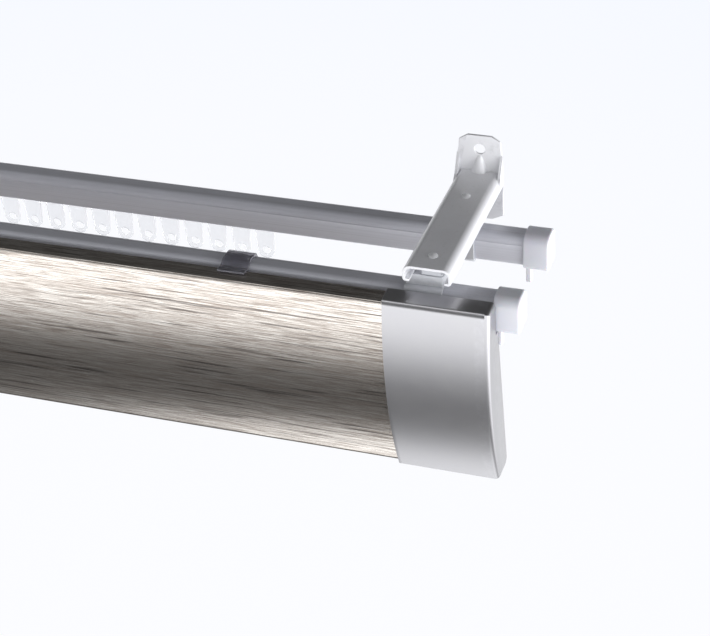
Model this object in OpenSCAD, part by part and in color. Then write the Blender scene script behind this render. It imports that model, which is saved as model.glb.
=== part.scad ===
// Double curtain rail with a curved fascia, on two wall brackets.
// X runs along the rails, +Y points into the wall, +Z is up, all in millimetres.
// The origin is on the wall, at the centre of the four wall screw holes.

/* [Rails] */
// Length of each rail, ends included
rail_len = 1200; // [700:10:2400]
// Distance from the wall to the middle of the rear rail
rear_rail_y = 29; // [24:1:40]
// Distance between the middles of the two rails
rail_spacing = 60; // [45:1:90]
// Depth of a rail, front to back
rail_d = 13; // [11:0.5:18]
// Height of a rail
rail_h = 17; // [14:0.5:24]
// Wall of a rail
rail_wall = 1.2; // [1:0.1:1.5]
// Radius of a rail's top shoulders
rail_shoulder_r = 4; // [3:0.5:5]
// Radius of a rail's bottom corners
rail_foot_r = 1.6; // [1.6:0.1:2.5]
// Width of the slot under a rail
slot_w = 4.4; // [4.2:0.1:5]
// How far the fine bead along a rail's front stands out
bead_d = 0.3; // [0.2:0.1:0.5]
// Height of the bead
bead_h = 1; // [0.6:0.1:1.6]
// Gap between the rail's shoulder and the bead
bead_gap = 0.5; // [0.2:0.1:1.5]

/* [Wall brackets] */
// Distance from a rail's end to the middle of its bracket
bracket_inset = 44; // [40:1:120]
// Thickness of the bracket's steel sheet
sheet = 1.5; // [1.2:0.1:2]
// Width of the arm and of the wall plate's foot
arm_w = 25; // [22:1:32]
// Height of the arm's folded channel
arm_h = 9; // [7:0.5:12]
// Outer radius of the arm's two folds
arm_fold_r = 4.5; // [3:0.5:5]
// Width of the lip turned in under each side of the arm
arm_lip = 2; // [1:0.5:3]
// How far the arm reaches past the middle of the front rail
arm_nose = 12; // [9:1:20]
// Height of the arm's top above the middle of the screw holes
arm_top = 4; // [2:0.5:6]
// Height of the wall plate
plate_h = 50; // [44:1:70]
// Width of the wall plate's top edge, between its cut corners
plate_top_w = 13; // [10:1:16]
// Width of the wall plate's upper part
plate_neck_w = 22.5; // [20:0.5:24]
// Height of the cut corners
plate_corner = 3; // [2:0.5:6]
// Diameter of a wall screw hole
screw_d = 6; // [4:0.5:6]
// Distance between the two screw holes of a bracket
screw_spacing = 34; // [30:1:44]
// How far the side webs reach out along the arm
web_d = 8; // [5:1:12]
// Width of the pressed gusset at the arm
gusset_w = 8; // [6:1:14]
// Width of the pressed gusset at its tip
gusset_tip_w = 1.2; // [0.8:0.2:2]
// Gap between the gusset's tip and the upper screw hole
gusset_gap = 1; // [0.5:0.5:3]

/* [Rail holders] */
// Gap from the arm's top down to the rails' top
rail_drop = 17; // [15:0.5:30]
// Length of a holder along the rail
holder_w = 20; // [16:1:30]
// Thickness of a holder's sheet
holder_t = 1.5; // [1.2:0.1:2]
// How far a holder's lips reach under the rail
holder_lip = 2.6; // [2:0.2:3]
// How far a holder stands from the middle of its bracket, towards the rail's middle
holder_shift = 4; // [0:0.5:4]
// Depth of a holder's block
block_d = 8; // [6:0.5:10]
// Radius of the upright edges of a holder's block and stem
block_r = 1; // [0.6:0.2:2]
// Gap between a holder's block and the arm's lips
block_gap = 0.4; // [0.2:0.1:1]
// Width of the stem that goes up between the arm's lips
stem_w = 11; // [8:0.5:12]
// Depth of the stem
stem_d = 7; // [5:0.5:8]
// Diameter of a rivet's shank
rivet_d = 3; // [2.5:0.5:4]
// Diameter of a rivet's domed head
rivet_head_d = 5; // [4:0.5:7]
// Height of a rivet's domed head
rivet_head_h = 1.3; // [1:0.1:1.8]
// Depth of a rivet's hole in its holder
rivet_depth = 8; // [5:0.5:10]

/* [Rail end caps] */
// Length of an end cap
cap_len = 13.2; // [12:0.2:24]
// Wall of an end cap
cap_wall = 1.6; // [1.2:0.1:2]
// Thickness of an end cap's stop
stop_t = 2.6; // [1.2:0.1:3]
// Width of an end cap's stop
stop_w = 4; // [3:0.5:6]
// How far an end cap's stop hangs below the cap
stop_drop = 11.4; // [8:0.2:16]

/* [Fascia] */
// Height of the fascia
fascia_h = 110; // [80:1:160]
// Radius of the fascia's curved face
fascia_r = 220; // [180:5:400]
// How far below the fascia's top its face stands out furthest
fascia_crown = 26; // [15:1:40]
// Thickness of the fascia
fascia_t = 1.8; // [1.4:0.1:2.4]
// Depth of the shelf along the fascia's top
shelf_d = 9; // [7:0.5:14]
// How much lower the shelf is at its front
shelf_fall = 1.1; // [0:0.1:1.5]
// Height of the edge turned down behind the shelf
shelf_hook = 3.5; // [2.5:0.5:5]
// How far the shelf's back edge is below the rails' top
shelf_below = 1.4; // [1:0.1:3]

/* [Fascia end caps] */
// Length of a fascia end cap along the fascia
fcap_len = 55.5; // [40:0.5:80]
// How far it reaches past the middle of the bracket
fcap_reach = 34; // [24:1:38]
// Wall of a fascia end cap
fcap_wall = 1.8; // [1.4:0.1:2.4]
// How far a fascia end cap's foot reaches back under the fascia
fcap_foot = 13; // [9:1:20]
// How far back the end plate's upper corner is from the fascia's crown
fcap_back = 15; // [12:1:15]

/* [Fascia clips] */
// Number of clips along the front rail
clip_count = 4; // [2:2:6]
// Length of a clip along the rail
clip_w = 15; // [12:1:30]
// Wall of a clip
clip_t = 1.6; // [1.2:0.1:2]
// Distance from the bracket to the nearest clip
clip_offset = 104.5; // [60:0.5:140]
// How far a clip's fingers reach over and under the shelf
clip_finger = 4; // [3:0.5:6]
// Thickness of the finger that lies on the shelf
clip_lip_t = 1.2; // [0.8:0.1:1.6]
// How far a clip reaches down behind the rail
clip_back = 7; // [6:0.5:10]

/* [Gliders] */
// Number of gliders on each rail
glider_count = 12; // [4:1:12]
// Distance from one parked glider to the next
glider_pitch = 14.2; // [12:0.2:20]
// Distance from the bracket to the nearest parked glider
glider_park = 115; // [40:1:140]
// Length of a glider's head inside the rail
head_len = 10; // [8:0.5:11]
// Height of a glider's head inside the rail
head_h = 3; // [2:0.5:4]
// Length of the neck that runs in the slot
neck_len = 5; // [3:0.5:8]
// How far the neck runs into the head and into the tongue
neck_root = 1; // [0.5:0.1:1.5]
// Width of a glider's tongue at its eye
tongue_w = 9.5; // [8:0.1:10]
// Width of a glider's tongue at its top
tongue_top_w = 11.4; // [8:0.1:11.6]
// Thickness of a glider's tongue
tongue_t = 1.6; // [1.4:0.1:2.4]
// How far a glider hangs below the rail
tongue_drop = 20.5; // [16:0.5:26]
// Diameter of the eye in a glider's tongue
eye_d = 5; // [3:0.2:5.4]

/* [Clearances] */
// Gap around pieces that are pushed or snapped on
snug = 0.1; // [0.05:0.05:0.2]
// Gap around a rivet's shank
rivet_gap = 0.05; // [0.02:0.01:0.1]
// Gap around a glider's head and neck
slide_gap = 0.3; // [0.2:0.05:0.4]
// Gap between the fascia or its end caps and what is behind them
fascia_gap = 0.6; // [0.4:0.1:1]

/* [Hidden] */
$fn = 48;
// How far a cut runs past what it cuts, and how far joined shapes run into each other.
past = 1;
into = 0.02;

front_rail_y = rear_rail_y + rail_spacing;
rail_ys = [rear_rail_y, front_rail_y];
rail_top = arm_top - rail_drop;
rail_bottom = rail_top - rail_h;
bracket_x = rail_len / 2 - bracket_inset;
arm_reach = front_rail_y + arm_nose;
arm_under = arm_top - sheet;
arm_bottom = arm_top - arm_h;
rail_in_w = rail_d - 2 * rail_wall;

// The fascia stands in front of the front rail, past the wall of a clip.
shelf_back_y = front_rail_y + rail_d / 2 + snug + clip_t + fascia_gap;
shelf_front_y = shelf_back_y + shelf_d;
shelf_top = rail_top - shelf_below;
fascia_top = shelf_top - shelf_fall;
fascia_bottom = fascia_top - fascia_h;
crown_z = fascia_top - fascia_crown;
crown_y = shelf_front_y + fascia_r - sqrt(pow(fascia_r, 2) - pow(fascia_crown, 2));
arc_y = crown_y - fascia_r;
function face_y(z, r) = arc_y + sqrt(pow(r, 2) - pow(z - crown_z, 2));

fcap_lift = snug + fcap_wall;
fcap_r = fascia_r + fcap_lift;
fcap_end_x = bracket_x + fcap_reach;
fcap_bottom = fascia_bottom - fcap_lift;
fcap_foot_y = face_y(fcap_bottom, fcap_r) - fcap_foot;
fcap_notch_z = rail_bottom - cap_wall - fascia_gap;
fascia_len = 2 * (fcap_end_x - fcap_wall - snug);

first_clip_x = bracket_x - clip_offset;
clip_xs = [for (k = [0 : clip_count - 1]) first_clip_x * (1 - 2 * k / (clip_count - 1))];
first_glider_x = bracket_x - glider_park;
glider_xs = [for (k = [0 : glider_count - 1]) first_glider_x - k * glider_pitch];
end_x = rail_len / 2 + cap_wall + snug;

sides = [["left", -1], ["right", 1]];
rails = [["rear", rear_rail_y], ["front", front_rail_y]];

// ---- shared shapes -------------------------------------------------------

// Carries a section drawn as (depth, height) along X, centred on x.
module along_x(length, x = 0) {
    translate([x, 0, 0]) rotate([90, 0, 90]) linear_extrude(length, center = true) children();
}

// Carries a section drawn as (width, height) along Y, from y0 towards the room.
module along_y(length, y0 = 0) {
    translate([0, y0, 0]) rotate([90, 0, 0]) linear_extrude(length) children();
}

// Flat box with round corners, centred on x, between two heights.
module round_box(w, top, bottom, top_r, bottom_r) {
    translate([-w / 2, bottom + bottom_r]) square([w, top - bottom - top_r - bottom_r]);
    translate([-w / 2 + top_r, bottom]) square([w - 2 * top_r, top - bottom]);
    translate([-w / 2 + bottom_r, bottom]) square([w - 2 * bottom_r, top_r + bottom_r]);
    for (s = [-1, 1]) {
        translate([s * (w / 2 - top_r), top - top_r]) circle(top_r);
        translate([s * (w / 2 - bottom_r), bottom + bottom_r]) circle(bottom_r);
    }
}

// A rail's outline about its own middle, its top at 0, made larger by grow.
module rail_outline(grow) {
    round_box(rail_d + 2 * grow, grow, -rail_h - grow, rail_shoulder_r + grow, rail_foot_r + grow);
}

// The outline with the bead along its front.
module rail_section(grow) {
    rail_outline(grow);
    translate([-rail_d / 2 - bead_d - grow, -rail_shoulder_r - bead_gap - bead_h - grow])
        square([rail_d / 2, bead_h + 2 * grow]);
}

// Puts a section drawn about a rail's middle at that rail.
module at_rail(y) {
    translate([-y, rail_top]) children();
}

// Mirrors a right-hand piece to the side asked for.
module on_side(side) {
    scale([side, 1, 1]) children();
}

// ---- wall brackets -------------------------------------------------------

module plate_outline() {
    half = plate_h / 2;
    shoulder = half - plate_corner;
    polygon([
        [-plate_top_w / 2, half], [plate_top_w / 2, half],
        [plate_neck_w / 2, shoulder], [arm_w / 2, arm_top],
        [arm_w / 2, -shoulder], [plate_top_w / 2, -half],
        [-plate_top_w / 2, -half], [-arm_w / 2, -shoulder],
        [-arm_w / 2, arm_top], [-plate_neck_w / 2, shoulder]
    ]);
}

module arm_outline() {
    difference() {
        round_box(arm_w, arm_top, arm_bottom, arm_fold_r, sheet);
        round_box(arm_w - 2 * sheet, arm_under, arm_bottom + sheet, arm_fold_r - sheet, into);
        translate([-arm_w / 2 + sheet + arm_lip, arm_bottom - past])
            square([arm_w - 2 * (sheet + arm_lip), sheet + 2 * past]);
    }
}

// Triangular side web between the plate and the arm's fold.
module side_web(side) {
    web_top = arm_top + (plate_h / 2 - arm_top) / 2;
    web_x = arm_w / 2 - sheet;
    translate([side * (web_x + sheet / 2), 0, 0]) rotate([90, 0, 90])
        linear_extrude(sheet, center = true)
            polygon([[-sheet + into, web_top], [-sheet + into, arm_bottom + sheet],
                [-sheet - web_d, arm_bottom + sheet], [-sheet - web_d, arm_top - arm_fold_r]]);
}

// Pressed gusset: half a cone from under the upper hole down to the arm.
module gusset() {
    tip = (screw_spacing - screw_d) / 2 - gusset_gap;
    base = arm_top - sheet / 2;
    intersection() {
        translate([0, -sheet / 2, base])
            cylinder(h = tip - base, d1 = gusset_w + sheet, d2 = gusset_tip_w + sheet);
        translate([-gusset_w, -2 * gusset_w, base]) cube([2 * gusset_w, 2 * gusset_w - sheet / 2, tip]);
    }
}

module bracket(side) {
    color("whitesmoke") translate([side * bracket_x, 0, 0]) difference() {
        union() {
            along_y(sheet) plate_outline();
            along_y(arm_reach - sheet / 2, -sheet / 2) arm_outline();
            for (s = [-1, 1]) side_web(s);
            gusset();
        }
        for (s = [-1, 1]) translate([0, past, s * screw_spacing / 2]) rotate([90, 0, 0])
            cylinder(h = sheet + 2 * past, d = screw_d);
        for (y = rail_ys) translate([0, -y, arm_under - past])
            cylinder(h = sheet + 2 * past, r = rivet_d / 2 + rivet_gap);
    }
}

// ---- rail holders --------------------------------------------------------

module holder_outline() {
    difference() {
        rail_outline(snug + holder_t);
        rail_section(snug);
        translate([-rail_d / 2 + holder_lip, -rail_h - snug - holder_t - past])
            square([rail_d - 2 * holder_lip, holder_t + 2 * past]);
    }
}

// Upright block with round edges, standing on z = 0.
module block(w, d, height) {
    flat_w = w - 2 * block_r;
    flat_d = d - 2 * block_r;
    linear_extrude(height) square([flat_w, d], center = true);
    linear_extrude(height) square([w, flat_d], center = true);
    for (i = [-1, 1], j = [-1, 1]) translate([i * flat_w / 2, j * flat_d / 2, 0])
        cylinder(h = height, r = block_r);
}

module rail_holder(y, side) {
    seat = rail_top + snug + holder_t / 2;
    strap_x = side * (bracket_x - holder_shift);
    color("gainsboro") difference() {
        union() {
            along_x(holder_w, strap_x) at_rail(y) holder_outline();
            translate([strap_x, -y, seat]) block(holder_w, block_d, arm_bottom - block_gap - seat);
            translate([side * bracket_x, -y, seat]) block(stem_w, stem_d, arm_under - seat);
        }
        translate([side * bracket_x, -y, arm_under - rivet_depth])
            cylinder(h = rivet_depth + past, r = rivet_d / 2 + rivet_gap);
    }
}

module rivet() {
    dome_r = (pow(rivet_head_d / 2, 2) + pow(rivet_head_h, 2)) / (2 * rivet_head_h);
    translate([0, 0, arm_under - rivet_depth + into])
        cylinder(h = rivet_depth + sheet, d = rivet_d);
    intersection() {
        translate([0, 0, arm_top + rivet_head_h - dome_r]) sphere(dome_r);
        translate([0, 0, arm_top]) cylinder(h = rivet_head_h + past, d = rivet_head_d);
    }
}

module holder_rivets() {
    color("silver") for (s = [-1, 1], y = rail_ys)
        translate([s * bracket_x, -y, 0]) rivet();
}

// ---- rails and their end caps --------------------------------------------

module rail(y) {
    color("white") along_x(rail_len) at_rail(y) difference() {
        rail_section(0);
        round_box(rail_in_w, -rail_wall, rail_wall - rail_h, rail_shoulder_r - rail_wall,
            rail_foot_r - rail_wall);
        translate([-slot_w / 2, -rail_h - past]) square([slot_w, rail_wall + 2 * past]);
    }
}

module rail_cap(y, side) {
    color("white") on_side(side) {
        difference() {
            along_x(cap_len, end_x - cap_len / 2) at_rail(y) rail_outline(cap_wall);
            along_x(cap_len, end_x - cap_wall - cap_len / 2) at_rail(y) rail_section(snug);
        }
        translate([end_x - cap_len, -y - stop_w / 2, rail_bottom - cap_wall - stop_drop])
            cube([stop_t, stop_w, stop_drop + cap_wall - snug]);
    }
}

// ---- fascia, its end caps and clips --------------------------------------

// The space behind the fascia's curved face, between two heights.
module behind_face(r, top, bottom) {
    intersection() {
        translate([-arc_y, crown_z]) circle(r, $fn = 180);
        translate([-arc_y - r, bottom]) square([r, top - bottom]);
    }
}

// The shelf's sheet, raised by lift. It starts a third of its thickness inside the face.
module shelf_outline(lift, thick, back_y) {
    front_y = face_y(fascia_top, fascia_r + lift) - thick / 3;
    polygon([[-front_y, fascia_top + lift], [-back_y, shelf_top + lift],
        [-back_y, shelf_top + lift - thick], [-front_y, fascia_top + lift - thick]]);
}

module fascia() {
    hook_h = shelf_hook + fascia_t / 2;
    color("rosybrown") {
        along_x(fascia_len) difference() {
            behind_face(fascia_r, fascia_top, fascia_bottom);
            behind_face(fascia_r - fascia_t, fascia_top + past, fascia_bottom - past);
        }
        along_x(fascia_len) shelf_outline(0, fascia_t, shelf_back_y);
        along_x(fascia_len) translate([-shelf_back_y - fascia_t, shelf_top - fascia_t - shelf_hook])
            square([fascia_t, hook_h]);
    }
}

module fcap_wall_outline() {
    difference() {
        behind_face(fcap_r, fascia_top + fcap_lift, fcap_bottom);
        behind_face(fcap_r - fcap_wall, fascia_top + fcap_lift + past, fascia_bottom - snug);
        translate([-fcap_foot_y, fcap_bottom - past]) square([fcap_r, fascia_h]);
    }
    shelf_outline(fcap_lift, fcap_wall, shelf_back_y);
}

module fcap_end_outline() {
    front_y = crown_y + fcap_wall + past;
    intersection() {
        behind_face(fcap_r, shelf_top + fcap_lift, fcap_bottom);
        polygon([[-front_y, fascia_top + fcap_lift], [-shelf_front_y, fascia_top + fcap_lift],
            [-shelf_back_y, shelf_top + fcap_lift],
            [-shelf_back_y, fcap_notch_z], [-crown_y + fcap_back, fcap_notch_z],
            [-fcap_foot_y, fcap_bottom], [-front_y, fcap_bottom]]);
    }
}

module fascia_cap(side) {
    color("lightsteelblue") on_side(side) {
        along_x(fcap_len, fcap_end_x - fcap_len / 2) fcap_wall_outline();
        along_x(fcap_wall, fcap_end_x - fcap_wall / 2) fcap_end_outline();
    }
}

module clip_outline() {
    wall_y = -rail_d / 2 - snug - clip_t;
    over = shelf_top - rail_top + snug;
    under = over - 2 * snug - fascia_t - shelf_hook;
    reach = clip_finger + clip_t + fascia_gap;
    floor_z = -rail_h - clip_t - past;
    difference() {
        rail_outline(snug + clip_t);
        rail_section(snug);
        translate([0, floor_z]) square([rail_d, -clip_back - floor_z]);
        translate([-rail_d, floor_z]) square([2 * rail_d, under - clip_t - floor_z]);
    }
    translate([wall_y + clip_t - reach, over]) square([reach, clip_lip_t]);
    translate([wall_y + clip_t - reach, under - clip_t]) square([reach, clip_t]);
}

module fascia_clip(x) {
    color("slategray") along_x(clip_w, x) at_rail(front_rail_y) clip_outline();
}

// ---- gliders -------------------------------------------------------------

// The hanging tongue, drawn as (width, height) below the rail.
module tongue_outline() {
    eye_z = rail_bottom - tongue_drop + tongue_w / 2;
    top_z = rail_bottom - slide_gap;
    difference() {
        union() {
            polygon([[-tongue_top_w / 2, top_z], [tongue_top_w / 2, top_z],
                [tongue_w / 2, eye_z], [-tongue_w / 2, eye_z]]);
            translate([0, eye_z]) circle(d = tongue_w);
        }
        translate([0, eye_z]) circle(d = eye_d);
    }
}

module glider(x, y) {
    head_z = rail_bottom + rail_wall + slide_gap / 3;
    head_w = rail_in_w - 2 * slide_gap;
    neck_w = slot_w - 2 * slide_gap;
    color("aliceblue") translate([x, -y, 0]) {
        translate([-head_len / 2, -head_w / 2, head_z]) cube([head_len, head_w, head_h]);
        translate([-neck_len / 2, -neck_w / 2, rail_bottom - slide_gap - neck_root])
            cube([neck_len, neck_w, head_z - rail_bottom + slide_gap + 2 * neck_root]);
        along_y(tongue_t, tongue_t / 2) tongue_outline();
    }
}

// ---- every node ----------------------------------------------------------

for (s = sides) {
    bracket(s[1]);
    fascia_cap(s[1]);
    for (r = rails) {
        rail_holder(r[1], s[1]);
        rail_cap(r[1], s[1]);
    }
}
for (r = rails) {
    rail(r[1]);
    for (k = [1 : glider_count])
        glider(glider_xs[k - 1], r[1]);
}
holder_rivets();
fascia();
for (k = [1 : clip_count])
    fascia_clip(clip_xs[k - 1]);
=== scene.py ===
import math

import bmesh
import bpy
import numpy as np
from mathutils import Matrix, Vector


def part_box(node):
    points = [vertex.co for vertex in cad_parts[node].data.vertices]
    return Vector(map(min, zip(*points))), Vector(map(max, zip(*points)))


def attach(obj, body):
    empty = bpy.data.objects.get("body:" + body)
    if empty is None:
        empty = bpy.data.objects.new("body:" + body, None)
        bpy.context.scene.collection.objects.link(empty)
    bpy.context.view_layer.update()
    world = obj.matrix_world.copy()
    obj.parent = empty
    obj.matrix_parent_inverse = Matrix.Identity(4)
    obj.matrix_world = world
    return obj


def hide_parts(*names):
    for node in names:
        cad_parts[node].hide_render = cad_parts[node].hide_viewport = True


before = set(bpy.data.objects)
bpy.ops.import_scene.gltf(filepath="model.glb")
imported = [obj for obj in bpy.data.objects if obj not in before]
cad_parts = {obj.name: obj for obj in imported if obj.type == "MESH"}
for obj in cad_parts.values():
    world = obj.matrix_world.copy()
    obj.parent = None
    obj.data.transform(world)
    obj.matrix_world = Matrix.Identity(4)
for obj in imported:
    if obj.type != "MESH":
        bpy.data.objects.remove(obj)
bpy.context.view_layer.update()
mm = 0.001


# Camera, light and floor.

cameraView = {
    "azimuth": 20.46,  # degrees round from the front towards the right end
    "elevation": 33.72,  # degrees above the level
    "roll": -3.53,
    "place": (0.79411, -0.84261, 0.49675),
    "lens": 95.47,
    "sensor": 36.0,
}


# Looks along (-sin a cos e, cos a cos e, -sin e), with right and up turned by the roll about that line.
def placeCamera(view):
    a, e, roll = (math.radians(view[key]) for key in ("azimuth", "elevation", "roll"))
    forward = Vector((-math.sin(a) * math.cos(e), math.cos(a) * math.cos(e), -math.sin(e)))
    right = Vector((math.cos(a), math.sin(a), 0.0))
    up = right.cross(forward)
    turnedRight = math.cos(roll) * right + math.sin(roll) * up
    turnedUp = math.cos(roll) * up - math.sin(roll) * right
    lens = bpy.data.cameras.new("studioCamera")
    lens.lens = view["lens"]
    lens.sensor_width = view["sensor"]
    lens.clip_end = 50.0
    camera = bpy.data.objects.new("studioCamera", lens)
    bpy.context.scene.collection.objects.link(camera)
    turn = Matrix((turnedRight, turnedUp, -forward)).transposed().to_4x4()
    camera.matrix_world = Matrix.Translation(view["place"]) @ turn
    bpy.context.scene.camera = camera


def wire(tree, source, target):
    tree.links.new(source, target)


def mathNode(tree, operation, first, second=0.0, clamp=False):
    node = tree.nodes.new("ShaderNodeMath")
    node.operation = operation
    node.use_clamp = clamp
    for socket, value in zip(node.inputs, (first, second)):
        if isinstance(value, (int, float)):
            socket.default_value = value
        else:
            wire(tree, value, socket)
    return node.outputs[0]


def rangeNode(tree, value, low, high, newLow=0.0, newHigh=1.0, smooth=False):
    node = tree.nodes.new("ShaderNodeMapRange")
    node.interpolation_type = "SMOOTHSTEP" if smooth else "LINEAR"
    wire(tree, value, node.inputs["Value"])
    for name, number in zip(("From Min", "From Max", "To Min", "To Max"), (low, high, newLow, newHigh)):
        node.inputs[name].default_value = number
    return node.outputs["Result"]


def mixNode(tree, factor, first, second):
    node = tree.nodes.new("ShaderNodeMix")
    node.data_type = "RGBA"
    wire(tree, factor, node.inputs["Factor"])
    for socket, value in zip((node.inputs[6], node.inputs[7]), (first, second)):
        if isinstance(value, tuple):
            socket.default_value = (*value, 1.0)
        else:
            wire(tree, value, socket)
    return node.outputs[2]


studioLight = {
    "strength": 2.1,
    # brightness at a height, where -1 is straight down, 0 level and 1 straight up
    "front": [(-1.0, 0.9), (-0.955, 0.88), (-0.932, 0.6), (-0.912, 0.22), (-0.89, 0.05), (-0.83, 0.02),
              (-0.74, 0.025), (-0.68, 0.10), (-0.62, 0.32), (-0.55, 0.66), (-0.45, 0.92), (0.0, 0.88),
              (0.14, 0.36), (0.28, 0.07), (0.62, 0.05), (0.72, 0.30), (0.84, 0.30), (0.93, 0.05),
              (1.0, 0.04)],
    "back": [(-1.0, 0.44), (-0.3, 0.49), (0.0, 0.52), (0.13, 0.28), (0.26, 0.05), (0.55, 0.03), (1.0, 0.03)],
    "sideGlow": 0.6,  # extra light from the right
    "tint": (0.97, 0.98, 1.0),
    "softboxPower": 9.0,
    "softboxPlace": (1.9, -0.35, -0.1),
    "softboxSize": 0.9,
}


def brightnessRamp(tree, height, stops):
    ramp = tree.nodes.new("ShaderNodeValToRGB")
    wire(tree, rangeNode(tree, height, -1.0, 1.0), ramp.inputs["Fac"])
    elements = ramp.color_ramp.elements
    while len(elements) < len(stops):
        elements.new(0.5)
    for element, (level, value) in zip(elements, stops):
        element.position = (level + 1.0) / 2.0
        element.color = (value, value, value, 1.0)
    return ramp.outputs["Color"]


# A dark ceiling, a bright level band, and in front below the object a dark band, as in a white booth.
def lightStudio(light):
    world = bpy.data.worlds.new("studio")
    bpy.context.scene.world = world
    world.use_nodes = True
    tree = world.node_tree
    tree.nodes.clear()
    coords = tree.nodes.new("ShaderNodeTexCoord")
    parts = tree.nodes.new("ShaderNodeSeparateXYZ")
    wire(tree, coords.outputs["Generated"], parts.inputs[0])
    fromBack = rangeNode(tree, parts.outputs["Y"], -0.15, 0.25, smooth=True)
    level = mixNode(tree, fromBack, brightnessRamp(tree, parts.outputs["Z"], light["front"]),
                    brightnessRamp(tree, parts.outputs["Z"], light["back"]))
    side = rangeNode(tree, parts.outputs["X"], 0.45, 0.95, 0.0, light["sideGlow"], smooth=True)
    lower = rangeNode(tree, parts.outputs["Z"], 0.15, 0.55, 1.0, 0.0, smooth=True)
    glow = mathNode(tree, "MULTIPLY", side, lower)
    total = mathNode(tree, "ADD", level, glow)
    tint = tree.nodes.new("ShaderNodeVectorMath")
    tint.operation = "SCALE"
    tint.inputs[0].default_value = light["tint"]
    wire(tree, total, tint.inputs["Scale"])
    room = tree.nodes.new("ShaderNodeBackground")
    room.inputs["Strength"].default_value = light["strength"]
    wire(tree, tint.outputs[0], room.inputs["Color"])
    sheet = tree.nodes.new("ShaderNodeBackground")
    sheet.inputs["Color"].default_value = (0.96, 0.968, 1.0, 1.0)
    path = tree.nodes.new("ShaderNodeLightPath")
    mix = tree.nodes.new("ShaderNodeMixShader")
    out = tree.nodes.new("ShaderNodeOutputWorld")
    wire(tree, path.outputs["Is Camera Ray"], mix.inputs["Fac"])
    wire(tree, room.outputs[0], mix.inputs[1])
    wire(tree, sheet.outputs[0], mix.inputs[2])
    wire(tree, mix.outputs[0], out.inputs["Surface"])
    lamp = bpy.data.lights.new("softbox", "AREA")
    lamp.energy = light["softboxPower"]
    lamp.size = light["softboxSize"]
    lamp.color = light["tint"]
    holder = bpy.data.objects.new("softbox", lamp)
    bpy.context.scene.collection.objects.link(holder)
    aim = Vector((0.5, -0.06, -0.04)) - Vector(light["softboxPlace"])
    turn = aim.to_track_quat("-Z", "Y").to_matrix().to_4x4()
    holder.matrix_world = Matrix.Translation(light["softboxPlace"]) @ turn


floorSheet = {"height": -0.7, "reach": 9.0, "colour": (0.965, 0.972, 1.0), "corner": (0.90, 0.93, 1.0)}


# A level pale sheet whose own glow fades from one tint to the other with distance from the object.
def layFloor(sheet):
    r = sheet["reach"]
    corners = [(x, y, sheet["height"]) for x, y in ((-r, -r), (r, -r), (r, r), (-r, r))]
    mesh = bpy.data.meshes.new("paleFloor")
    mesh.from_pydata(corners, [], [(0, 1, 2, 3)])
    floor = bpy.data.objects.new("paleFloor", mesh)
    bpy.context.scene.collection.objects.link(floor)
    material = bpy.data.materials.new("paleFloor")
    material.use_nodes = True
    tree = material.node_tree
    shader = tree.nodes["Principled BSDF"]
    shader.inputs["Roughness"].default_value = 1.0
    shader.inputs["Base Color"].default_value = (0.02, 0.02, 0.02, 1.0)
    shader.inputs["Specular IOR Level"].default_value = 0.0
    shader.inputs["Emission Strength"].default_value = 1.0
    coords = tree.nodes.new("ShaderNodeTexCoord")
    length = tree.nodes.new("ShaderNodeVectorMath")
    length.operation = "LENGTH"
    wire(tree, coords.outputs["Object"], length.inputs[0])
    far = rangeNode(tree, length.outputs["Value"], 0.8, 2.6, smooth=True)
    wire(tree, mixNode(tree, far, sheet["colour"], sheet["corner"]), shader.inputs["Emission Color"])
    mesh.materials.append(material)
    for sight in ("diffuse", "glossy", "shadow"):  # it backs the picture and leaves the light as it is
        setattr(floor, "visible_" + sight, False)


placeCamera(cameraView)
lightStudio(studioLight)
layFloor(floorSheet)
bpy.context.scene.view_settings.view_transform = "Standard"
print("camera, light and floor ready")


# Shapes.

# Points (cx + r cos t, cy + r sin t) for t from start to end, in degrees.
def arc(cx, cy, radius, start, end, count=9):
    t = np.radians(np.linspace(start, end, count))
    return np.column_stack([cx + radius * np.cos(t), cy + radius * np.sin(t)])


# A box outline centred on 0, its four corners quarter circles, run anticlockwise from the bottom right.
def roundBox(width, top, bottom, topRadius, bottomRadius, count=9):
    half = width / 2
    return np.vstack([
        arc(half - bottomRadius, bottom + bottomRadius, bottomRadius, -90, 0, count),
        arc(half - topRadius, top - topRadius, topRadius, 0, 90, count),
        arc(topRadius - half, top - topRadius, topRadius, 90, 180, count),
        arc(bottomRadius - half, bottom + bottomRadius, bottomRadius, 180, 270, count),
    ])


# Swaps each corner of a closed outline for an arc that touches both its sides.
def filletLoop(corners, radius, count=5):
    corners = np.asarray(corners, float)
    radii = np.broadcast_to(radius, len(corners))
    points = []
    for here, before, after, r in zip(corners, np.roll(corners, 1, 0), np.roll(corners, -1, 0), radii):
        a, b = before - here, after - here
        la, lb = np.linalg.norm(a), np.linalg.norm(b)
        a, b = a / la, b / lb
        half = math.acos(np.clip(a @ b, -1, 1)) / 2
        if r < 1e-7 or half > math.radians(88):
            points.append(here[None])
            continue
        cut = min(r / math.tan(half), 0.49 * la, 0.49 * lb)
        r = cut * math.tan(half)
        middle = here + (a + b) / np.linalg.norm(a + b) * r / math.sin(half)
        first, last = here + a * cut - middle, here + b * cut - middle
        t0 = math.atan2(first[1], first[0])
        turn = (math.atan2(last[1], last[0]) - t0 + math.pi) % (2 * math.pi) - math.pi
        t = t0 + turn * np.linspace(0, 1, count)
        points.append(middle + r * np.column_stack([np.cos(t), np.sin(t)]))
    return np.vstack(points)


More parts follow.
